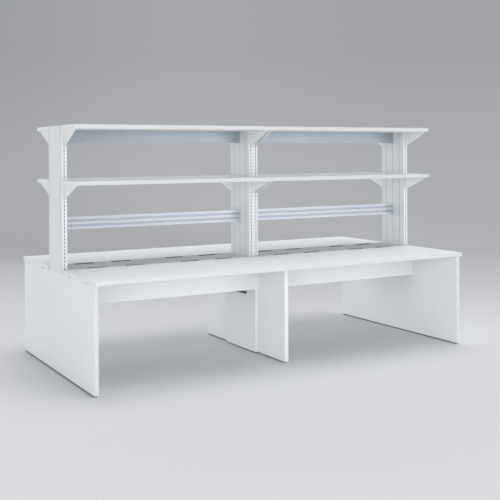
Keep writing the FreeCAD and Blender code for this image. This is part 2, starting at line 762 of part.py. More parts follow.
def slot_row(body, span_x, span_y):
    """A row of slots from the first one down, one pitch apart."""
    levels = (f"{FIRST_SLOT} - slot_height / 2", f"{FIRST_SLOT} + slot_height / 2")
    slot = cut_box(body, span_x, span_y, levels)
    row = body.newObject("PartDesign::LinearPattern", "SlotRow")
    row.Originals = [slot]
    row.Direction = (origin_feature(body, "Z_Axis"), [""])
    row.Reversed = True
    row.setExpression("Length", formula(f"slot_pitch * ({SLOT_COUNT} - 1)"))
    row.setExpression("Occurrences", formula(SLOT_COUNT))
    body.Tip = row


def column_shell(low_x, high_x, front_rows, open_sides):
    """The front shell between two X places; open_sides are the walls with slots and rail screws."""
    body = new_body("ColumnShell")
    face = minus(COLUMN_FACE)
    low_in = f"({low_x} + column_sheet)"
    high_in = f"({high_x} - column_sheet)"
    face_in = f"({face} + column_sheet)"
    shell_outline = outline(body, "XY_Plane", WORKTOP_UNDER, [
        (low_x, SHELL_SEAM),
        (low_x, face),
        (high_x, face),
        (high_x, SHELL_SEAM),
        (high_in, SHELL_SEAM),
        (high_in, face_in),
        (low_in, face_in),
        (low_in, SHELL_SEAM),
    ])
    pad(body, shell_outline, f"{COLUMN_TOP} - {WORKTOP_UNDER}")
    round_edges(body, "column_edge_radius", lambda edge: runs_along(edge, "z") and lies_at(edge, "y", face))
    for row_x in front_rows:
        span_x = (f"{row_x} - slot_width / 2", f"{row_x} + slot_width / 2")
        slot_row(body, span_x, (f"{face} - cut_overrun", f"{face_in} + cut_overrun"))
    for wall_low, wall_high in open_sides:
        span_x = (f"{wall_low} - cut_overrun", f"{wall_high} + cut_overrun")
        slot_row(body, span_x, (f"{SIDE_SLOT_ROW} - slot_width / 2", f"{SIDE_SLOT_ROW} + slot_width / 2"))
        for level in RAIL_SCREW_LEVELS:
            fill_rod(body, "Subtractive", "x", (minus(SCREW_ROW), level), span_x, SCREW_HOLE)
    return body


END_WALL = (f"({minus(COLUMN_INNER)} - column_sheet)", minus(COLUMN_INNER))
CENTRE_WALLS = [
    (minus(CENTRE_SIDE), f"({minus(CENTRE_SIDE)} + column_sheet)"),
    (f"({CENTRE_SIDE} - column_sheet)", CENTRE_SIDE),
]
end_shell = column_shell(END_SHELL_OUTER, minus(COLUMN_INNER), [minus(COLUMN_ROW)], [END_WALL])
centre_shell = column_shell(minus(CENTRE_SIDE), CENTRE_SIDE, [minus(CENTRE_ROW), CENTRE_ROW], CENTRE_WALLS)
right_shell = mirrored(end_shell, ACROSS_X)
node("column_left_front", end_shell)
node("column_left_rear", mirrored(end_shell, ACROSS_Y))
node("column_right_front", right_shell)
node("column_right_rear", mirrored(right_shell, ACROSS_Y))
node("column_centre_front", centre_shell)
node("column_centre_rear", mirrored(centre_shell, ACROSS_Y))

# Column covers: plain strips that close the seam on the outer faces of the end columns
column_cover = new_body("ColumnCover")
add_box(
    column_cover,
    (minus(HALF_LENGTH), END_SHELL_OUTER),
    (f"{minus(COLUMN_FACE)} + column_cover_inset", f"{COLUMN_FACE} - column_cover_inset"),
    (WORKTOP_UNDER, COLUMN_TOP),
)
node("column_cover_left", column_cover)
node("column_cover_right", mirrored(column_cover, ACROSS_X))


# Column caps: flat plugs that finish the column tops level with the shelf
def column_cap(low_x, high_x):
    body = new_body("ColumnCap")
    add_box(body, (low_x, high_x), (minus(COLUMN_FACE), COLUMN_FACE), (COLUMN_TOP, "overall_height"))
    return body


end_cap = column_cap(minus(HALF_LENGTH), minus(COLUMN_INNER))
group("column_caps", both_ends([end_cap]) + [column_cap(minus(CENTRE_SIDE), CENTRE_SIDE)])

# Shelf boards: one to a bay on each tier, notched round the columns, butted over the centre
SHELF_SIDE = "(shelf_depth / 2)"
SHELF_INNER_END = "(-shelf_joint / 2)"
SHELF_NOTCH_SIDE = f"({COLUMN_FACE} + shelf_notch_clearance)"
SHELF_NOTCH_END = f"({minus(COLUMN_INNER)} + shelf_notch_clearance)"
SHELF_NOTCH_CENTRE = f"({minus(CENTRE_SIDE)} - shelf_notch_clearance)"


def shelf_board(underside):
    body = new_body("ShelfBoard")
    board_outline = outline(body, "XY_Plane", underside, [
        (minus(HALF_LENGTH), minus(SHELF_SIDE)),
        (SHELF_INNER_END, minus(SHELF_SIDE)),
        (SHELF_INNER_END, minus(SHELF_NOTCH_SIDE)),
        (SHELF_NOTCH_CENTRE, minus(SHELF_NOTCH_SIDE)),
        (SHELF_NOTCH_CENTRE, SHELF_NOTCH_SIDE),
        (SHELF_INNER_END, SHELF_NOTCH_SIDE),
        (SHELF_INNER_END, SHELF_SIDE),
        (minus(HALF_LENGTH), SHELF_SIDE),
        (minus(HALF_LENGTH), SHELF_NOTCH_SIDE),
        (SHELF_NOTCH_END, SHELF_NOTCH_SIDE),
        (SHELF_NOTCH_END, minus(SHELF_NOTCH_SIDE)),
        (minus(HALF_LENGTH), minus(SHELF_NOTCH_SIDE)),
    ])
    pad(body, board_outline, "shelf_thickness")
    sides = (minus(SHELF_SIDE), SHELF_SIDE)
    round_edges(body, "shelf_edge_radius", lambda edge: runs_along(edge, "x") and lies_at(edge, "y", *sides))
    return body


for tier, underside in {"top": TOP_SHELF_UNDER, "lower": LOW_SHELF_UNDER}.items():
    board = shelf_board(underside)
    node(f"shelf_{tier}_left", board)
    node(f"shelf_{tier}_right", mirrored(board, ACROSS_X))

# Shelf brackets: tapered plates with a top flange, hooked into two slots of a front row
BRACKET_FACE = minus(COLUMN_FACE)
BRACKET_TIP = f"({BRACKET_FACE} - bracket_reach)"
TAIL_FRONT = f"({BRACKET_FACE} + column_sheet + hook_wall_gap)"
TAIL_BACK = f"({TAIL_FRONT} + hook_tail_thickness)"


def hook_points(slot_level):
    """A hook that rests on the lower edge of a slot and drops behind the column wall."""
    seat = f"({slot_level} - slot_height / 2)"
    return [
        (BRACKET_FACE, f"{seat} + hook_neck"),
        (TAIL_BACK, f"{seat} + hook_neck"),
        (TAIL_BACK, f"{seat} - hook_tail_drop"),
        (TAIL_FRONT, f"{seat} - hook_tail_drop"),
        (TAIL_FRONT, seat),
        (BRACKET_FACE, seat),
    ]


def shelf_bracket(row_x, underside, height):
    body = new_body("ShelfBracket")
    first = f"({underside} - hook_distance)"
    second = f"({first} - slot_pitch * round(hook_spacing / slot_pitch))"
    plate_outline = outline(body, "YZ_Plane", f"{row_x} - bracket_sheet / 2", [
        (BRACKET_TIP, underside),
        (BRACKET_FACE, underside),
        *hook_points(first),
        *hook_points(second),
        (BRACKET_FACE, f"{underside} - {height}"),
        (f"{BRACKET_FACE} - bracket_foot", f"{underside} - {height}"),
        (BRACKET_TIP, f"{underside} - bracket_tip_height"),
    ])
    pad(body, plate_outline, "bracket_sheet")
    add_box(
        body,
        (f"{row_x} - bracket_flange_width / 2", f"{row_x} + bracket_flange_width / 2"),
        (BRACKET_TIP, BRACKET_FACE),
        (f"{underside} - bracket_sheet", underside),
    )
    return body


for tier, underside in {"top": TOP_SHELF_UNDER, "lower": LOW_SHELF_UNDER}.items():
    height = f"{tier}_bracket_height"
    brackets = [shelf_bracket(row, underside, height) for row in (minus(COLUMN_ROW), minus(CENTRE_ROW))]
    group(f"shelf_brackets_{tier}", both_sides(both_ends(brackets)))

# Rails: hollow aluminium sections between the columns, on end plates screwed to the column walls
RAIL_START = f"({minus(COLUMN_INNER)} + rail_plate_sheet)"
RAIL_STOP = f"({minus(CENTRE_SIDE)} - rail_plate_sheet)"
RAIL_SIDE = "(rail_depth / 2)"
GROOVE_HEIGHT = "((rail_height - 3 * ridge_height) / 2)"


def ridge_side(foot, side, inward):
    """Points up one face of the lower rail: three ridges with two bevelled grooves between them."""
    points = [(side, foot)]
    deep = f"{side} {inward} groove_depth"
    for groove in range(2):
        low = f"({foot} + ridge_height + {groove} * (ridge_height + {GROOVE_HEIGHT}))"
        high = f"({low} + {GROOVE_HEIGHT})"
        points += [
            (side, low),
            (deep, f"{low} + groove_bevel"),
            (deep, f"{high} - groove_bevel"),
            (side, high),
        ]
    return points + [(side, f"{foot} + rail_height")]


def lip_side(foot, side, inward):
    """Points up one face of the upper rail: a flat face between a lip at the foot and one at the top."""
    face = f"{side} {inward} lip_depth"
    head = f"({foot} + rail_height)"
    return [
        (side, foot),
        (side, f"{foot} + lip_height"),
        (face, f"{foot} + lip_height"),
        (face, f"{head} - lip_height"),
        (side, f"{head} - lip_height"),
        (side, head),
    ]


def rail(foot, face_points, hollow_side):
    body = new_body("Rail")
    front = face_points(foot, minus(RAIL_SIDE), "+")
    rear = face_points(foot, RAIL_SIDE, "-")
    pad(body, outline(body, "YZ_Plane", RAIL_START, front + rear[::-1]), f"{RAIL_STOP} - {RAIL_START}")
    cut_box(
        body,
        (f"{RAIL_START} - cut_overrun", f"{RAIL_STOP} + cut_overrun"),
        (minus(hollow_side), hollow_side),
        (f"{foot} + rail_wall", f"{foot} + rail_height - rail_wall"),
    )
    return body


RAILS = {
    "upper": (UPPER_RAIL_FOOT, lip_side, f"({RAIL_SIDE} - lip_depth - rail_wall)"),
    "lower": (LOWER_RAIL_FOOT, ridge_side, f"({RAIL_SIDE} - groove_depth - rail_wall)"),
}
for tier, (foot, face_points, hollow_side) in RAILS.items():
    section = rail(foot, face_points, hollow_side)
    node(f"rail_{tier}_left", section)
    node(f"rail_{tier}_right", mirrored(section, ACROSS_X))


# Rail end plates: flat plates with a screw ear below the rail, and the screws into the column walls
def rail_plate(low_x, foot):
    body = new_body("RailPlate")
    span_x = (low_x, f"{low_x} + rail_plate_sheet")
    span_y = ("-rail_plate_width / 2", "rail_plate_width / 2")
    add_box(body, span_x, span_y, (f"{foot} - rail_plate_ear", f"{foot} + rail_height"))
    for place_y in (minus(SCREW_ROW), SCREW_ROW):
        cut_span = (f"{low_x} - cut_overrun", f"{low_x} + rail_plate_sheet + cut_overrun")
        fill_rod(body, "Subtractive", "x", (place_y, f"{foot} - rail_plate_ear / 2"), cut_span, SCREW_HOLE)
    return body


def rail_screw(plate_face, outward, place_y, level):
    """A screw whose head lies on the plate face; outward is the sign of X away from the column."""
    body = new_body("RailScrew")
    head = f"({plate_face} {outward} rail_screw_head_height)"
    inward = "-" if outward == "+" else "+"
    tip = f"({plate_face} {inward} (rail_plate_sheet + column_sheet + rail_screw_reach))"
    head_span = (plate_face, head) if outward == "+" else (head, plate_face)
    shank_span = (tip, plate_face) if outward == "+" else (plate_face, tip)
    fill_rod(body, "Additive", "x", (place_y, level), head_span, "rail_screw_head_diameter")
    fill_rod(body, "Additive", "x", (place_y, level), shank_span, "rail_screw_diameter")
    return body


plates = []
screws = []
for foot in (UPPER_RAIL_FOOT, LOWER_RAIL_FOOT):
    plates += [rail_plate(minus(COLUMN_INNER), foot), rail_plate(RAIL_STOP, foot)]
    level = f"{foot} - rail_plate_ear / 2"
    for place_y in (minus(SCREW_ROW), SCREW_ROW):
        screws += [rail_screw(RAIL_START, "+", place_y, level), rail_screw(RAIL_STOP, "-", place_y, level)]
group("rail_end_plates", both_ends(plates))
group("rail_screws", both_ends(screws))

# Test every object and piece, then write the pieces
doc.recompute()
for item in doc.Objects:
    if "Invalid" in item.State or "Error" in item.State:
        raise RuntimeError(f"{item.Name} failed: {item.State}")
for label, thing in nodes.items():
    shape = thing.Shape
    if shape.isNull() or not shape.isValid() or not shape.Solids:
        raise RuntimeError(f"{label} has no valid solid")

os.makedirs("parts", exist_ok=True)
for label, thing in nodes.items():
    thing.Shape.exportStep(f"parts/{label}.step")
print(f"{len(nodes)} nodes written")
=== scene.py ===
import json
import math

import bmesh
import bpy
from mathutils import Matrix, Vector


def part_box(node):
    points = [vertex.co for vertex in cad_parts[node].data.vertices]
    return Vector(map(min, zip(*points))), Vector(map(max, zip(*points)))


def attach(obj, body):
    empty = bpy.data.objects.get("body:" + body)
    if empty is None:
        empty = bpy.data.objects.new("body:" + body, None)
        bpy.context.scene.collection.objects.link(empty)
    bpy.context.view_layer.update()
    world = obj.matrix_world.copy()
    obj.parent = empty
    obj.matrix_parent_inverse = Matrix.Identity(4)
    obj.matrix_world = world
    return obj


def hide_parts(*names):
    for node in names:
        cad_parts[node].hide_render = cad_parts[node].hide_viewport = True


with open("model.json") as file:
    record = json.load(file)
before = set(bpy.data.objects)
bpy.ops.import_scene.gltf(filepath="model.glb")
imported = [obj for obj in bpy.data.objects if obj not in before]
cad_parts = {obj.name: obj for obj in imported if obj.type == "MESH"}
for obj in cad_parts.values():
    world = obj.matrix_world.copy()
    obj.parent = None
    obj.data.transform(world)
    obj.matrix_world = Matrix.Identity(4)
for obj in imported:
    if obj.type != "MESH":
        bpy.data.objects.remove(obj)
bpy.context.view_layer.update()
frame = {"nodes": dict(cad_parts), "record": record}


# Base strips: dark glides of rigid plastic with a fine moulded grain, under every upright board.
# They are pressed on from below and carry the bench on the floor.
def socket_in(tree, node, name, value):
    """Set one input of a shader node, from another node's output or a plain value."""
    if isinstance(value, bpy.types.NodeSocket):
        tree.links.new(value, node.inputs[name])
    else:
        node.inputs[name].default_value = value


def shader_node(tree, kind, settings=None, **inputs):
    """Add a shader node with its settings, and its inputs by name with spaces as underscores."""
    node = tree.nodes.new(f"ShaderNode{kind}")
    for name, value in (settings or {}).items():
        setattr(node, name, value)
    for name, value in inputs.items():
        socket_in(tree, node, name.replace("_", " "), value)
    return node


def maths(tree, operation, first, second=0.0):
    """The result of one maths node."""
    node = tree.nodes.new("ShaderNodeMath")
    node.operation = operation
    socket_in(tree, node, 0, first)
    socket_in(tree, node, 1, second)
    return node.outputs[0]


def eased(tree, value, low, high, new_low, new_high):
    """Map a value from one range to another with soft ends."""
    settings = {"interpolation_type": "SMOOTHSTEP"}
    node = shader_node(
        tree, "MapRange", settings, Value=value,
        From_Min=low, From_Max=high, To_Min=new_low, To_Max=new_high,
    )
    return node.outputs["Result"]


NOISE_SPAN = (0.3, 0.7)


def clouds(tree, place, scale, detail):
    """Soft noise, whose values lie mostly within the noise span."""
    node = shader_node(tree, "TexNoise", Vector=place, Scale=scale, Detail=detail)
    return node.outputs["Fac"]


def shaded(tree, colour, share):
    """A colour multiplied by a grey share."""
    node = tree.nodes.new("ShaderNodeVectorMath")
    node.operation = "SCALE"
    socket_in(tree, node, 0, colour)
    socket_in(tree, node, "Scale", share)
    return node.outputs[0]


def vector_maths(tree, operation, first, second=(0.0, 0.0, 0.0)):
    """The result of one vector maths node."""
    node = tree.nodes.new("ShaderNodeVectorMath")
    node.operation = operation
    socket_in(tree, node, 0, first)
    socket_in(tree, node, 1, second)
    return node.outputs["Value" if operation in ("DOT_PRODUCT", "LENGTH") else "Vector"]


def shader_group(name, inputs, outputs):
    """Start a node group and give back its tree, its inputs and its output node."""
    tree = bpy.data.node_groups.new(name, "ShaderNodeTree")
    for label, kind in inputs.items():
        tree.interface.new_socket(label, in_out="INPUT", socket_type=f"NodeSocket{kind}")
    for label, kind in outputs.items():
        tree.interface.new_socket(label, in_out="OUTPUT", socket_type=f"NodeSocket{kind}")
    return tree, tree.nodes.new("NodeGroupInput").outputs, tree.nodes.new("NodeGroupOutput")


def placed_group(tree, group, **inputs):
    """Place a node group with its inputs by name, and give back its outputs."""
    node = tree.nodes.new("ShaderNodeGroup")
    node.node_tree = group
    for name, value in inputs.items():
        socket_in(tree, node, name.replace("_", " "), value)
    return node.outputs


def build_coat_grain():
    """Fine grain with a slow drift of tone and gloss, as on coats, plastics and laminates."""
    inputs = {
        "Place": "Vector", "Colour": "Color", "Grain Scale": "Float", "Drift Scale": "Float",
        "Drift Depth": "Float", "Gloss Low": "Float", "Gloss High": "Float",
    }
    outputs = {"Colour": "Color", "Roughness": "Float", "Height": "Float"}
    grain_detail = 3.0
    drift_detail = 4.0
    grain_share = 0.4
    drift_share = 0.6
    tree, given, made = shader_group("coat_grain", inputs, outputs)
    grain = clouds(tree, given["Place"], given["Grain Scale"], grain_detail)
    drift = clouds(tree, given["Place"], given["Drift Scale"], drift_detail)
    grain_part = maths(tree, "MULTIPLY", grain, grain_share)
    drift_part = maths(tree, "MULTIPLY", drift, drift_share)
    blend = maths(tree, "ADD", grain_part, drift_part)
    darker = maths(tree, "MULTIPLY", blend, given["Drift Depth"])
    tone = maths(tree, "SUBTRACT", 1.0, darker)
    socket_in(tree, made, "Colour", shaded(tree, given["Colour"], tone))
    gloss = eased(tree, drift, *NOISE_SPAN, given["Gloss Low"], given["Gloss High"])
    socket_in(tree, made, "Roughness", gloss)
    socket_in(tree, made, "Height", grain)
    return tree


coat_grain = build_coat_grain()


def new_finish(name):
    """A material with its shader, and the Object place of each point."""
    material = bpy.data.materials.new(name)
    material.use_nodes = True
    tree = material.node_tree
    place = tree.nodes.new("ShaderNodeTexCoord").outputs["Object"]
    return material, tree, tree.nodes["Principled BSDF"], place


def raised(tree, shader, height, depth):
    """Give a shader a bump of the given depth in metres."""
    bump = shader_node(tree, "Bump", Height=height, Distance=depth, Strength=1.0)
    socket_in(tree, shader, "Normal", bump.outputs["Normal"])


def coated(name, colour, grain, drift, depth, gloss, bump):
    """A coated or moulded finish; grain and drift are repeats to the metre, bump is in metres."""
    material, tree, shader, place = new_finish(name)
    made = placed_group(
        tree, coat_grain, Place=place, Colour=(*colour, 1.0), Grain_Scale=grain, Drift_Scale=drift,
        Drift_Depth=depth, Gloss_Low=gloss[0], Gloss_High=gloss[1],
    )
    socket_in(tree, shader, "Base Color", made["Colour"])
    socket_in(tree, shader, "Roughness", made["Roughness"])
    raised(tree, shader, made["Height"], bump)
    return material


def dress(material, *names):
    """Give a finish to pieces of the frame."""
    for name in names:
        for slot in frame["nodes"][name].material_slots:
            slot.material = material


glide_plastic = coated(
    "glide_plastic", colour=(0.15, 0.152, 0.156), grain=700.0, drift=9.0, depth=0.35,
    gloss=(0.5, 0.72), bump=0.00006,
)


def body_with(name):
    """The body that a piece of the frame belongs to."""
    bodies = frame["record"]["behaviour"]["bodies"]
    return next(body for body, members in bodies.items() if name in members)


def stand_in(name, shape, finish):
    """Make the shape a piece that stands for one of the frame, on the same body."""
    mesh = bpy.data.meshes.new(f"{name}_shape")
    shape.to_mesh(mesh)
    shape.free()
    mesh.materials.append(finish)
    piece = bpy.data.objects.new(f"{name}_piece", mesh)
    bpy.context.scene.collection.objects.link(piece)
    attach(piece, body_with(name))
    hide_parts(name)
    return piece


def merged_copy(name):
    """The shape of a piece of the frame, with its loose triangles joined up."""
    shape = bmesh.new()
    shape.from_mesh(frame["nodes"][name].data)
    bmesh.ops.remove_doubles(shape, verts=shape.verts, dist=0.00001)
    return shape


def eased_piece(name, finish, width):
    """A piece of the frame with its sharp edges rounded off by a small width, in metres."""
    shape = merged_copy(name)
    flat = math.radians(1)
    sharp = math.radians(35)
    bmesh.ops.dissolve_limit(shape, angle_limit=flat, verts=shape.verts, edges=shape.edges)
    rims = [edge for edge in shape.edges if edge.is_manifold and edge.calc_face_angle() > sharp]
    bmesh.ops.bevel(
        shape, geom=rims, offset=width, offset_type="OFFSET", affect="EDGES", segments=2,
        profile=0.5, material=-1, clamp_overlap=True,
    )
    return stand_in(name, shape, finish)


STRIP_EASE = 0.001
for strip in ("base_strip_left", "base_strip_right", "base_strip_centre"):
    eased_piece(strip, glide_plastic, STRIP_EASE)


# Levelling feet and their sleeves: zinc plated steel, screwed up into the boards.
# The plating has faint crystals that turn the light a little each.
def build_zinc_plate():
    """Crystals of zinc, each with its own tone and gloss."""
    inputs = {"Place": "Vector", "Colour": "Color", "Crystal Scale": "Float"}
    outputs = {"Colour": "Color", "Roughness": "Float"}
    tone_range = (0.82, 1.0)
    gloss_range = (0.32, 0.48)
    tree, given, made = shader_group("zinc_plate", inputs, outputs)
    crystals = shader_node(tree, "TexVoronoi", Vector=given["Place"], Scale=given["Crystal Scale"])
    split = shader_node(tree, "SeparateColor", Color=crystals.outputs["Color"])
    tone = eased(tree, split.outputs["Red"], 0.0, 1.0, *tone_range)
    socket_in(tree, made, "Colour", shaded(tree, given["Colour"], tone))
    gloss = eased(tree, split.outputs["Green"], 0.0, 1.0, *gloss_range)
    socket_in(tree, made, "Roughness", gloss)
    return tree


zinc_plate = build_zinc_plate()


def plated(name, colour, crystals):
    """A zinc plated finish; crystals is how many lie along a metre."""
    material, tree, shader, place = new_finish(name)
    made = placed_group(tree, zinc_plate, Place=place, Colour=(*colour, 1.0), Crystal_Scale=crystals)
    socket_in(tree, shader, "Base Color", made["Colour"])
    socket_in(tree, shader, "Roughness", made["Roughness"])
    shader.inputs["Metallic"].default_value = 1.0
    return material


TURN_STEPS = 24
THREAD_PITCH = 0.00125
THREAD_CREST = 0.004
THREAD_ROOT = 0.0034
FOOT_PAD = [
    (0.0, 0.0), (0.007, 0.0), (0.009, 0.002), (0.009, 0.0036), (0.0085, 0.0041), (0.0085, 0.0055),
    (0.009, 0.006), (0.009, 0.0095), (0.0085, 0.01), (THREAD_ROOT, 0.01),
]


def turned_shape(profile):
    """A shape turned about the upright axis from pairs of radius and height."""
    shape = bmesh.new()
    points = [shape.verts.new((radius, 0.0, height)) for radius, height in profile]
    lines = [shape.edges.new(pair) for pair in zip(points, points[1:])]
    bmesh.ops.spin(
        shape, geom=points + lines, cent=(0, 0, 0), axis=(0, 0, 1), angle=math.radians(360),
        steps=TURN_STEPS, use_merge=True,
    )
    bmesh.ops.remove_doubles(shape, verts=shape.verts, dist=0.000005)
    bmesh.ops.recalc_face_normals(shape, faces=shape.faces)
    return shape


def threaded_foot(name, finish):
    """A foot with a turned pad and a threaded stem, for one piece of the frame."""
    low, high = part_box(name)
    middle = (low + high) / 2
    pad_height = FOOT_PAD[-1][1]
    crests = int((high.z - low.z - pad_height) / THREAD_PITCH)
    thread = []
    for crest in range(crests):
        height = pad_height + THREAD_PITCH * (crest + 0.5)
        thread += [(THREAD_CREST, height), (THREAD_ROOT, height + THREAD_PITCH / 2)]
    tip = [(THREAD_ROOT, high.z - low.z), (0.0, high.z - low.z)]
    shape = turned_shape(FOOT_PAD + thread + tip)
    bmesh.ops.translate(shape, verts=shape.verts, vec=(middle.x, middle.y, low.z))
    return stand_in(name, shape, finish)


foot_zinc = plated("foot_zinc", colour=(0.52, 0.53, 0.54), crystals=420.0)
dress(foot_zinc, "foot_sleeves")
for foot in [name for name in frame["nodes"] if name.startswith("foot_") and name != "foot_sleeves"]:
    threaded_foot(foot, foot_zinc)


# End panels, centre legs, chase and aprons: particle board faced with white melamine.
# The cut edges are closed with a thin white band, whose seam shows as a fine line; the front and rear
# edge faces are darkened as painted shade.
def depth_in_box(tree, place, middle, half_size):
    """How far a point lies inside the faces of an upright box, along each axis."""
    away = vector_maths(tree, "ABSOLUTE", vector_maths(tree, "SUBTRACT", place, middle))
    return vector_maths(tree, "SUBTRACT", half_size, away)


def build_edge_seam_and_shade():
    """The front and rear edge faces of an upright box for painted shade, the seam of its band, and the
    rub beside the edges.
    """
    inputs = {"Place": "Vector", "Middle": "Vector", "Half Size": "Vector", "Thin Axis": "Vector"}
    outputs = {"Painted Edge Shade": "Float", "Seam": "Float", "Rub": "Float"}
    band = 0.0013
    seam_width = 0.0004
    rub_width = 0.012
    front_width = 0.003
    tree, given, made = shader_group("edge_seam_and_shade", inputs, outputs)
    inside = depth_in_box(tree, given["Place"], given["Middle"], given["Half Size"])
    below_face = vector_maths(tree, "DOT_PRODUCT", inside, given["Thin Axis"])
    split = shader_node(tree, "SeparateXYZ", Vector=inside).outputs
    on_edge = eased(tree, below_face, 0.0, seam_width, 0.0, 1.0)
    at_front = eased(tree, split["Y"], 0.0, front_width, 1.0, 0.0)
    socket_in(tree, made, "Painted Edge Shade", maths(tree, "MULTIPLY", on_edge, at_front))
    least = maths(tree, "MINIMUM", maths(tree, "MINIMUM", split["X"], split["Y"]), split["Z"])
    most = maths(tree, "MAXIMUM", maths(tree, "MAXIMUM", split["X"], split["Y"]), split["Z"])
    total = maths(tree, "ADD", maths(tree, "ADD", split["X"], split["Y"]), split["Z"])
    to_edge = maths(tree, "SUBTRACT", maths(tree, "SUBTRACT", total, least), most)
    off_seam = maths(tree, "ABSOLUTE", maths(tree, "SUBTRACT", to_edge, band))
    socket_in(tree, made, "Seam", eased(tree, off_seam, 0.0, seam_width, 1.0, 0.0))
    socket_in(tree, made, "Rub", eased(tree, to_edge, 0.0, rub_width, 1.0, 0.0))
    return tree


edge_seam_and_shade = build_edge_seam_and_shade()


BOARD_DRIFT = 2.6
BOARD_DRIFT_DEPTH = 0.05
SEAM_SHARE = 0.2
RUB_SHARE = 0.02
RUB_POLISH = 0.08


def faced_board(name, piece, colour, grain, gloss, bump, painted_shade_share):
    """White faced board with its edge band seams and painted shade on its front and rear edge faces,
    for one box-shaped piece of the frame.
    """
    low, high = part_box(piece)
    material, tree, shader, place = new_finish(name)
    made = placed_group(
        tree, coat_grain, Place=place, Colour=(*colour, 1.0), Grain_Scale=grain,
        Drift_Scale=BOARD_DRIFT, Drift_Depth=BOARD_DRIFT_DEPTH, Gloss_Low=gloss[0], Gloss_High=gloss[1],
    )
    size = high - low
    thin_axis = [float(side == min(size)) for side in size]
    edges = placed_group(
        tree, edge_seam_and_shade, Place=place, Middle=(low + high) / 2, Half_Size=size / 2, Thin_Axis=thin_axis,
    )
    # Painted shade: the front and rear edge faces are darkened by a share.
    painted_edge_shade = maths(tree, "MULTIPLY", edges["Painted Edge Shade"], painted_shade_share)
    seam_shade = maths(tree, "MULTIPLY", edges["Seam"], SEAM_SHARE)
    rub_shade = maths(tree, "MULTIPLY", edges["Rub"], RUB_SHARE)
    shade = maths(tree, "ADD", maths(tree, "ADD", painted_edge_shade, seam_shade), rub_shade)
    tone = maths(tree, "SUBTRACT", 1.0, shade)
    socket_in(tree, shader, "Base Color", shaded(tree, made["Colour"], tone))
    polish = maths(tree, "MULTIPLY", edges["Rub"], RUB_POLISH)
    socket_in(tree, shader, "Roughness", maths(tree, "SUBTRACT", made["Roughness"], polish))
    raised(tree, shader, made["Height"], bump)
    return material


MELAMINE_WHITE = (0.882, 0.896, 0.897)
BOARD_EASE = 0.0008
ROUNDED_BOARDS = ("end_panel", "centre_leg")
# How much painted shade darkens the front and rear edge faces of each family of boards.
PAINTED_EDGE_SHADES = {"end_panel": 0.21, "centre_leg": 0.04, "chase_": 0.0, "apron_": 0.0}
for family, painted_shade_share in PAINTED_EDGE_SHADES.items():
    for board in [name for name in frame["nodes"] if name.startswith(family)]:
        melamine = faced_board(
            f"melamine_{board}", board, MELAMINE_WHITE, grain=900.0, gloss=(0.42, 0.5),
            bump=0.00003, painted_shade_share=painted_shade_share,
        )
        if family in ROUNDED_BOARDS:
            dress(melamine, board)
        else:
            eased_piece(board, melamine, BOARD_EASE)

# Joint plugs: black plastic plugs let in flush where the worktop ends lie on the end panels.
# They close the bores of the fittings that draw the boards together.
PLUG_EASE = 0.0006
plug_black = coated(
    "plug_black", colour=(0.03, 0.03, 0.033), grain=1500.0, drift=60.0, depth=0.3,
    gloss=(0.36, 0.5), bump=0.00002,
)
eased_piece("joint_plugs", plug_black, PLUG_EASE)


# Panel bolts: white coated socket bolts let flush into the outer faces of the end panels.
# They draw up the column anchors on the inside.
def separate_solids(name):
    """The corner points of each separate solid of a piece of the frame."""
    shape = merged_copy(name)
    taken = set()
    solids = []
    for start in shape.verts:
        if start in taken:
            continue
        taken.add(start)
        reached = [start]
        for corner in reached:
            beside = [edge.other_vert(corner) for edge in corner.link_edges]
            fresh = [other for other in beside if other not in taken]
            taken.update(fresh)
            reached += fresh
        solids.append([corner.co.copy() for corner in reached])
    shape.free()
    return solids


def socket_screw(reach, head, shank, socket):
    """A screw pointing down from a head at the origin; head and shank are radius and height or ease."""
    head_radius, head_height = head
    shank_radius, ease = shank
    socket_radius, socket_depth = socket
    rim_radius = (socket_radius + head_radius) / 2
    shape = turned_shape([
        (0.0, -reach), (shank_radius - ease, -reach), (shank_radius, ease - reach),
        (shank_radius, -head_height), (head_radius, -head_height), (head_radius, -ease),
        (head_radius - ease, 0.0), (rim_radius, 0.0),
    ])
    rim = [edge for edge in shape.edges if edge.is_boundary]
    hexagon = bmesh.ops.create_circle(shape, cap_ends=False, segments=6, radius=socket_radius)["verts"]
    mouth = [edge for edge in shape.edges if all(corner in hexagon for corner in edge.verts)]
    bmesh.ops.bridge_loops(shape, edges=rim + mouth)
    grown = bmesh.ops.extrude_edge_only(shape, edges=mouth)["geom"]
    floor_corners = [item for item in grown if isinstance(item, bmesh.types.BMVert)]
    floor_edges = [
        edge for edge in shape.edges if all(corner in floor_corners for corner in edge.verts)
    ]
    bmesh.ops.translate(shape, verts=floor_corners, vec=(0, 0, -socket_depth))
    bmesh.ops.edgeloop_fill(shape, edges=floor_edges)
    bmesh.ops.recalc_face_normals(shape, faces=shape.faces)
    return shape


def socket_screws(name, finish, head_height, ease, socket):
    """Hexagon socket screws for a piece of the frame that holds plain ones, all lying along X."""
    every = bmesh.new()
    for corners in separate_solids(name):
        low, high = (pick(corner.x for corner in corners) for pick in (min, max))
        across = [(min(values) + max(values)) / 2 for values in zip(*[(c.y, c.z) for c in corners])]
        axis = Vector((0.0, *across))
        widths = [
            max((Vector((0.0, c.y, c.z)) - axis).length for c in corners if abs(c.x - end) < ease)
            for end in (low, high)
        ]
        head_end, turn = (low, -90) if widths[0] > widths[1] else (high, 90)
        screw = socket_screw(high - low, (max(widths), head_height), (min(widths), ease), socket)
        place = Matrix.Translation(axis + Vector((head_end, 0.0, 0.0)))
        lying = Matrix.Rotation(math.radians(turn), 4, "Y")
        bmesh.ops.transform(screw, matrix=place @ lying, verts=screw.verts)
        single = bpy.data.meshes.new(f"{name}_single")
        screw.to_mesh(single)
        screw.free()
        every.from_mesh(single)
        bpy.data.meshes.remove(single)
    return stand_in(name, every, finish)


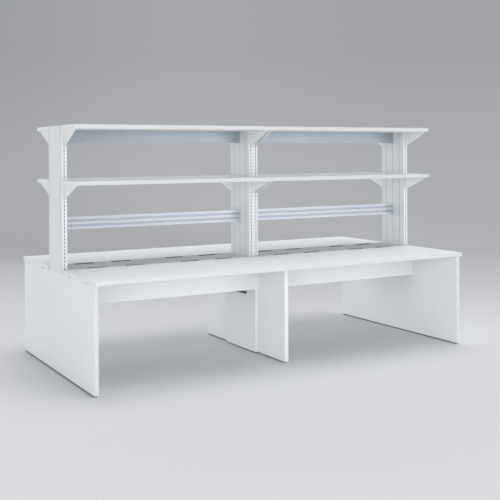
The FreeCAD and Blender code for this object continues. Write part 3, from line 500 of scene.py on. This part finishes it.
BOLT_HEAD = 0.003
SCREW_EASE = 0.0004
BOLT_SOCKET = (0.0024, 0.0022)
bolt_white = coated(
    "bolt_white", colour=(0.72, 0.735, 0.74), grain=1500.0, drift=60.0, depth=0.2,
    gloss=(0.32, 0.45), bump=0.00002,
)
socket_screws("panel_bolts", bolt_white, BOLT_HEAD, SCREW_EASE, BOLT_SOCKET)

# Worktop cleats and column anchors: plain zinc plated angles and plates inside the bench.
# They are screwed and bolted to the boards, and hold the worktops and the columns.
bracket_zinc = plated("bracket_zinc", colour=(0.56, 0.57, 0.58), crystals=160.0)
dress(bracket_zinc, "column_anchors")
CLEAT_EASE = 0.0004
SCREW_HEAD = 0.0025
SCREW_SOCKET = (0.0019, 0.0017)
eased_piece("worktop_cleats", bracket_zinc, CLEAT_EASE)
socket_screws("cleat_screws", bracket_zinc, SCREW_HEAD, SCREW_EASE, SCREW_SOCKET)

# Cable trays: folded sheet channels hung under the trough, in a grey powder coat darkened nearly to
# black as painted shade, so the cover notches read dark.
# The ledges that carry the trough covers have the same coat.
tray_shade_grey = coated(
    "tray_shade_grey", colour=(0.075, 0.08, 0.086), grain=420.0, drift=7.0, depth=0.12,
    gloss=(0.5, 0.62), bump=0.00005,
)
# Painted shade: the tray coat is made near black so the notches in the covers above look dark.
dress(tray_shade_grey, "cable_tray_left", "cable_tray_right", "trough_ledges")

# Worktops: thick boards with a white laminate face and a soft moulded front edge.
# The laminate has a fine pearl texture with a satin gloss.
LAMINATE_WHITE = (0.85, 0.872, 0.882)
# Painted shade on the front and rear edge faces of the worktops.
WORKTOP_PAINTED_SHADE = 0.2


def laminated(piece, painted_shade_share):
    """Dress one board in white laminate, with its front and rear edge faces darkened by a share as
    painted shade.
    """
    laminate = faced_board(
        f"laminate_{piece}", piece, LAMINATE_WHITE, grain=1100.0, gloss=(0.5, 0.6),
        bump=0.00003, painted_shade_share=painted_shade_share,
    )
    dress(laminate, piece)


for worktop in ("worktop_front", "worktop_rear"):
    laminated(worktop, WORKTOP_PAINTED_SHADE)

# Trough covers: mid grey powder coated plates that lie loose on the ledges.
# The cable notches are punched in the long edges.
cover_grey = coated(
    "cover_grey", colour=(0.49, 0.524, 0.568), grain=480.0, drift=5.0, depth=0.1,
    gloss=(0.3, 0.4), bump=0.00003,
)
COVER_EASE = 0.0005
for cover in [name for name in frame["nodes"] if name.startswith("trough_cover")]:
    eased_piece(cover, cover_grey, COVER_EASE)


# Columns: two folded steel shells that face each other, with punched rows of slots.
# The faces inside the hollow are darkened almost to black as painted shade, so the slots read dark.
# The caps and rail plates have the same coat; the side covers and shelf brackets a brighter copy of it,
# as painted light where the lamps leave them too dark.
def build_hollow():
    """Zero on the outer walls of a long section, rising to one on the faces inside it."""
    inputs = {
        "Place": "Vector", "Middle": "Vector", "Half Size": "Vector", "Skin": "Float", "Full": "Float",
    }
    tree, given, made = shader_group("hollow", inputs, {"Inner": "Float"})
    inside = depth_in_box(tree, given["Place"], given["Middle"], given["Half Size"])
    split = shader_node(tree, "SeparateXYZ", Vector=inside).outputs
    least = maths(tree, "MINIMUM", maths(tree, "MINIMUM", split["X"], split["Y"]), split["Z"])
    socket_in(tree, made, "Inner", eased(tree, least, given["Skin"], given["Full"], 0.0, 1.0))
    return tree


hollow = build_hollow()


def hollow_share(tree, place, piece, skin, full):
    """The hollow group on one long piece of the frame, whose open ends don't count as walls."""
    low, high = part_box(piece)
    half_size = (high - low) / 2
    long_axis = max(range(3), key=lambda axis: half_size[axis])
    half_size[long_axis] *= 2
    middle = (low + high) / 2
    made = placed_group(
        tree, hollow, Place=place, Middle=middle, Half_Size=half_size, Skin=skin, Full=full,
    )
    return made["Inner"]


def powder_coat(name, colour):
    """The satin powder coat of the columns and the shelf brackets, in a given white."""
    return coated(
        name, colour, grain=520.0, drift=3.5, depth=0.06, gloss=(0.42, 0.52), bump=0.00004,
    )


COLUMN_WHITE = (0.756, 0.778, 0.775)
COLUMN_SKIN = (0.0005, 0.0013)
HOLLOW_PAINTED_SHADE = 0.9
# Painted light: a brighter copy of the column white for the brackets under the shelves and the side
# covers.
BRACKET_PAINTED_LIGHT_WHITE = (0.83, 0.85, 0.838)
column_white = powder_coat("column_white", COLUMN_WHITE)
bracket_painted_light_white = powder_coat("bracket_painted_light_white", BRACKET_PAINTED_LIGHT_WHITE)
SHEET_EASE = 0.0004
dress(bracket_painted_light_white, "column_cover_left", "column_cover_right")
for sheet in ("column_caps", "rail_end_plates"):
    eased_piece(sheet, column_white, SHEET_EASE)
for bracket in ("shelf_brackets_top", "shelf_brackets_lower"):
    eased_piece(bracket, bracket_painted_light_white, SHEET_EASE)
shells = [
    name for name in frame["nodes"]
    if name.startswith("column_") and name.endswith(("_front", "_rear"))
]
for shell in shells:
    shell_coat_and_shade = powder_coat(f"coat_{shell}", COLUMN_WHITE)
    tree = shell_coat_and_shade.node_tree
    shader = tree.nodes["Principled BSDF"]
    place = tree.nodes["Texture Coordinate"].outputs["Object"]
    colour = shader.inputs["Base Color"].links[0].from_socket
    # Painted shade: the faces inside the shell are darkened by a share.
    painted_hollow_shade = maths(tree, "MULTIPLY", hollow_share(tree, place, shell, *COLUMN_SKIN), HOLLOW_PAINTED_SHADE)
    socket_in(tree, shader, "Base Color", shaded(tree, colour, maths(tree, "SUBTRACT", 1.0, painted_hollow_shade)))
    dress(shell_coat_and_shade, shell)

# Shelf boards: white laminate boards notched round the columns, laid on the brackets.
# The long edges carry a band with a small radius, whose faces are darkened as painted shade.
SHELF_PAINTED_SHADE = 0.25
shelves = [name for name in frame["nodes"] if name.startswith(("shelf_top", "shelf_lower"))]
for shelf in shelves:
    laminated(shelf, SHELF_PAINTED_SHADE)


# Rails: hollow aluminium sections between the columns, satin anodised.
# Drawing through the die leaves faint lines along the rail; the faces let in behind the front are
# darkened as painted shade.
def build_drawn_lines():
    """Fine lines along a drawn section, in its tone, gloss and height, with a thin haze over them."""
    inputs = {"Place": "Vector", "Colour": "Color"}
    outputs = {"Colour": "Color", "Roughness": "Float", "Height": "Float"}
    line_stretch = (0.6, 260.0, 260.0)
    line_detail = 5.0
    line_tone = (0.94, 1.0)
    line_gloss = (0.24, 0.32)
    haze_scale = 6.0
    haze_detail = 3.0
    haze_gloss = 0.06
    tree, given, made = shader_group("drawn_lines", inputs, outputs)
    stretch = shader_node(tree, "Mapping", Vector=given["Place"], Scale=line_stretch)
    lines = clouds(tree, stretch.outputs["Vector"], 1.0, line_detail)
    haze = clouds(tree, given["Place"], haze_scale, haze_detail)
    tone = eased(tree, lines, *NOISE_SPAN, *line_tone)
    socket_in(tree, made, "Colour", shaded(tree, given["Colour"], tone))
    line_part = eased(tree, lines, *NOISE_SPAN, *line_gloss)
    haze_part = maths(tree, "MULTIPLY", haze, haze_gloss)
    socket_in(tree, made, "Roughness", maths(tree, "ADD", line_part, haze_part))
    socket_in(tree, made, "Height", lines)
    return tree


drawn_lines = build_drawn_lines()


GROOVE_SKIN = (0.0015, 0.006)
RAIL_METAL = 0.8
LINE_DEPTH = 0.00002


def anodised(name, piece, colour, groove_painted_shade):
    """Satin aluminium for one rail; the faces let in behind its front are darkened by a share as
    painted shade.
    """
    material, tree, shader, place = new_finish(name)
    made = placed_group(tree, drawn_lines, Place=place, Colour=(*colour, 1.0))
    # Painted shade: the faces let in behind the rail's front are darkened by a share.
    painted_groove_shade = maths(tree, "MULTIPLY", hollow_share(tree, place, piece, *GROOVE_SKIN), groove_painted_shade)
    tone = maths(tree, "SUBTRACT", 1.0, painted_groove_shade)
    socket_in(tree, shader, "Base Color", shaded(tree, made["Colour"], tone))
    socket_in(tree, shader, "Roughness", made["Roughness"])
    shader.inputs["Metallic"].default_value = RAIL_METAL
    raised(tree, shader, made["Height"], LINE_DEPTH)
    return material


# The upper rails get a darker blue-grey than the lower ones, partly as painted shade from the shelf
# above them.
UPPER_SATIN_SHADED = (0.463, 0.523, 0.567)
UPPER_GROOVE_PAINTED_SHADE = 0.1
LOWER_SATIN = (0.75, 0.79, 0.85)
LOWER_GROOVE_PAINTED_SHADE = 0.22
for side in ("left", "right"):
    upper = f"rail_upper_{side}"
    lower = f"rail_lower_{side}"
    dress(anodised(f"satin_{upper}", upper, UPPER_SATIN_SHADED, UPPER_GROOVE_PAINTED_SHADE), upper)
    dress(anodised(f"satin_{lower}", lower, LOWER_SATIN, LOWER_GROOVE_PAINTED_SHADE), lower)
socket_screws("rail_screws", bracket_zinc, SCREW_HEAD, SCREW_EASE, SCREW_SOCKET)

# Floor and backdrop: a pale sheet that sweeps up into a round wall far behind the bench.
# The pale floor fades to a painted glow of even grey away from the bench, and on the wall the glow
# darkens upwards and towards the sides as painted shade.
# The floor throws more light back onto the bench than it shows, as painted light. It is seen from
# inside only, so a low view from below looks through it.
FLOOR_RADIUS = 13.0
SWEEP_RADIUS = 3.0
WALL_HEIGHT = 9.0
SWEEP_STEPS = 12
ROUND_STEPS = 96
FLOOR_GREY = (0.708, 0.716, 0.744)
BOUNCE_SHARE = 1.24
WALL_GREY = (0.44, 0.448, 0.47)
RING_FADE = (4.0, 9.0)
FAR_FADE = (-0.7, 6.6)
FAR_SIDE = (0.496, 0.868, 0.0)
DUSK_FOOT = 1.2
DUSK_HEAD = 4.0
DUSK_SHARE = 0.87
LEFT_DUSK = (1.0, 6.5)
LEFT_SHARE = 0.89
RIGHT_DUSK = (7.0, 11.5)
RIGHT_SHARE = 0.95


def spun_sheet(name, profile, paint):
    """A sheet turned round the upright axis from its profile, facing the middle of the room."""
    sheet = bmesh.new()
    points = [sheet.verts.new(spot) for spot in profile]
    lines = [sheet.edges.new(pair) for pair in zip(points, points[1:])]
    bmesh.ops.spin(
        sheet, geom=points + lines, cent=(0, 0, 0), axis=(0, 0, 1), angle=math.radians(360),
        steps=ROUND_STEPS, use_merge=True,
    )
    bmesh.ops.remove_doubles(sheet, verts=sheet.verts, dist=0.0001)
    bmesh.ops.recalc_face_normals(sheet, faces=sheet.faces)
    sheet.faces.ensure_lookup_table()
    first = sheet.faces[0]
    inwards = Vector((0, 0, SWEEP_RADIUS)) - first.calc_center_median()
    if first.normal.dot(inwards) < 0:
        bmesh.ops.reverse_faces(sheet, faces=sheet.faces)
    for face in sheet.faces:
        face.smooth = True
    mesh = bpy.data.meshes.new(name)
    sheet.to_mesh(mesh)
    sheet.free()
    mesh.materials.append(paint)
    piece = bpy.data.objects.new(name, mesh)
    bpy.context.scene.collection.objects.link(piece)
    return piece


def mixed(tree, share, first, second):
    """Two shaders mixed by a share of the second."""
    node = tree.nodes.new("ShaderNodeMixShader")
    for order, value in enumerate((share, first, second)):
        socket_in(tree, node, order, value)
    return node.outputs[0]


backdrop_paint, tree, shader, place = new_finish("backdrop_paint")
shader.inputs["Roughness"].default_value = 0.7
shader.inputs["Specular IOR Level"].default_value = 0.2
rays = tree.nodes.new("ShaderNodeLightPath").outputs
mirrored = maths(tree, "MAXIMUM", rays["Is Glossy Ray"], rays["Is Transmission Ray"])
looked_at = maths(tree, "MAXIMUM", rays["Is Camera Ray"], mirrored)
# Painted light: bounced rays see the floor brighter than the camera does.
painted_bounce = maths(tree, "SUBTRACT", BOUNCE_SHARE, maths(tree, "MULTIPLY", looked_at, BOUNCE_SHARE - 1.0))
socket_in(tree, shader, "Base Color", shaded(tree, FLOOR_GREY, painted_bounce))
away = vector_maths(tree, "LENGTH", place)
behind = vector_maths(tree, "DOT_PRODUCT", place, FAR_SIDE)
ring = shader_node(tree, "MapRange", Value=away, From_Min=RING_FADE[0], From_Max=RING_FADE[1])
far = shader_node(tree, "MapRange", Value=behind, From_Min=FAR_FADE[0], From_Max=FAR_FADE[1])
fade = maths(tree, "MAXIMUM", ring.outputs["Result"], far.outputs["Result"])
spot = shader_node(tree, "SeparateXYZ", Vector=place).outputs
dusk = shader_node(
    tree, "MapRange", Value=spot["Z"], From_Min=DUSK_FOOT, From_Max=DUSK_HEAD,
    To_Min=1.0, To_Max=DUSK_SHARE,
)
left_dusk = eased(tree, spot["X"], *LEFT_DUSK, LEFT_SHARE, 1.0)
right_dusk = eased(tree, spot["X"], *RIGHT_DUSK, 1.0, RIGHT_SHARE)
side_dusk = maths(tree, "MINIMUM", left_dusk, right_dusk)
painted_wall_shade = maths(tree, "MULTIPLY", dusk.outputs["Result"], side_dusk)
# Painted glow: the camera sees an even grey emission away from the bench, darkened upwards and at the
# sides as painted shade.
glow = shader_node(tree, "Emission", Color=shaded(tree, WALL_GREY, painted_wall_shade))
glow_share = maths(tree, "MULTIPLY", fade, looked_at)
lit_sheet = mixed(tree, glow_share, shader.outputs["BSDF"], glow.outputs["Emission"])
back_side = tree.nodes.new("ShaderNodeNewGeometry").outputs["Backfacing"]
clear = tree.nodes.new("ShaderNodeBsdfTransparent").outputs["BSDF"]
seen = mixed(tree, back_side, lit_sheet, clear)
socket_in(tree, tree.nodes["Material Output"], "Surface", seen)

spun_sheet("floor", [Vector((0, 0, 0)), Vector((FLOOR_RADIUS, 0, 0))], backdrop_paint)
sweep = [Vector((FLOOR_RADIUS, 0, 0))]
for step in range(1, SWEEP_STEPS + 1):
    angle = math.radians(90) * step / SWEEP_STEPS
    across = FLOOR_RADIUS + SWEEP_RADIUS * math.sin(angle)
    sweep.append(Vector((across, 0, SWEEP_RADIUS * (1 - math.cos(angle)))))
sweep.append(Vector((FLOOR_RADIUS + SWEEP_RADIUS, 0, WALL_HEIGHT)))
backdrop = spun_sheet("backdrop", sweep, backdrop_paint)
backdrop.visible_diffuse = False
backdrop.visible_shadow = False

# Studio light: a pale surround, brightest near the horizon as in a light tent and dim at its left,
# with large soft boxes above, in front at both sides of the camera, and behind.
SURROUND = (0.97, 0.985, 1.0)
HORIZON_STRENGTH = 1.3
DIM_SIDE = (-0.95, -0.6)
DIM_SHARE = 0.34
world = bpy.data.worlds.new("studio")
bpy.context.scene.world = world
world.use_nodes = True
tree = world.node_tree
direction = tree.nodes.new("ShaderNodeTexCoord").outputs["Generated"]
parts = shader_node(tree, "SeparateXYZ", Vector=direction).outputs
strength = eased(tree, parts["Z"], 0.0, 1.0, HORIZON_STRENGTH, 0.0)
open_side = eased(tree, parts["X"], *DIM_SIDE, DIM_SHARE, 1.0)
surround = tree.nodes["Background"]
surround.inputs["Color"].default_value = (*SURROUND, 1.0)
socket_in(tree, surround, "Strength", maths(tree, "MULTIPLY", strength, open_side))


def soft_box(name, place, target, size, power):
    """A large soft lamp at a place, turned to its target; its size in metres and power in watts."""
    lamp = bpy.data.lights.new(name, "AREA")
    lamp.shape = "RECTANGLE"
    lamp.size, lamp.size_y = size
    lamp.energy = power
    holder = bpy.data.objects.new(name, lamp)
    bpy.context.scene.collection.objects.link(holder)
    holder.location = place
    holder.visible_camera = False
    holder.rotation_euler = (Vector(target) - Vector(place)).to_track_quat("-Z", "Y").to_euler()
    return holder


soft_box("top_box", place=(3.2, -0.8, 16.0), target=(0.0, 0.0, 0.0), size=(14.0, 12.0), power=1715.0)
soft_box("front_box", place=(-3.6, -9.0, 1.9), target=(0.0, 0.0, 0.6), size=(7.0, 3.2), power=62.0)
soft_box("front_high_box", place=(0.5, -8.0, 4.2), target=(0.0, 0.0, 0.7), size=(9.0, 2.6), power=68.0)
soft_box("right_box", place=(5.3, -9.0, 1.5), target=(0.0, 0.0, 0.7), size=(5.8, 2.8), power=50.0)
soft_box("left_box", place=(-7.0, -7.6, 1.5), target=(0.0, 0.0, 0.5), size=(7.0, 2.8), power=170.0)
rear_left_box = soft_box(
    "rear_left_box", place=(-6.5, 8.5, 1.5), target=(0.0, 0.0, 0.4), size=(7.0, 2.8), power=104.0,
)
rear_high_box = soft_box(
    "rear_high_box", place=(0.0, 8.0, 5.5), target=(0.0, 0.0, 0.7), size=(9.0, 3.0), power=190.0,
)
for rear_box in (rear_left_box, rear_high_box):
    rear_box.visible_glossy = False

# Camera: the photograph's place, level and turned to the right, with its frame slid down.
# The place and the focal length come from the straight edges of the bench in the picture.
IMAGE_SIZE = 500
SENSOR = 36.0
FOCAL_PIXELS = 888.9
CENTRE_PIXEL = (249.83, 153.57)
CAMERA_PLACE = Vector((-3.3766, -6.0019, 1.5008))
HEADING = 0.5192
ROLL = 0.0059
camera_data = bpy.data.cameras.new("photo_camera")
camera_data.sensor_width = SENSOR
camera_data.lens = FOCAL_PIXELS * SENSOR / IMAGE_SIZE
camera_data.shift_x = (IMAGE_SIZE / 2 - CENTRE_PIXEL[0]) / IMAGE_SIZE
camera_data.shift_y = (CENTRE_PIXEL[1] - IMAGE_SIZE / 2) / IMAGE_SIZE
camera_data.clip_end = 100.0
camera = bpy.data.objects.new("photo_camera", camera_data)
bpy.context.scene.collection.objects.link(camera)
ahead = Vector((math.sin(HEADING), math.cos(HEADING), 0.0))
right = Vector((math.cos(HEADING), -math.sin(HEADING), 0.0))
up = Vector((0.0, 0.0, 1.0))
camera_right = right * math.cos(ROLL) - up * math.sin(ROLL)
camera_up = right * math.sin(ROLL) + up * math.cos(ROLL)
turned = Matrix((camera_right, camera_up, -ahead)).transposed()
camera.matrix_world = Matrix.Translation(CAMERA_PLACE) @ turned.to_4x4()
bpy.context.scene.camera = camera
bpy.context.scene.view_settings.view_transform = "Standard"
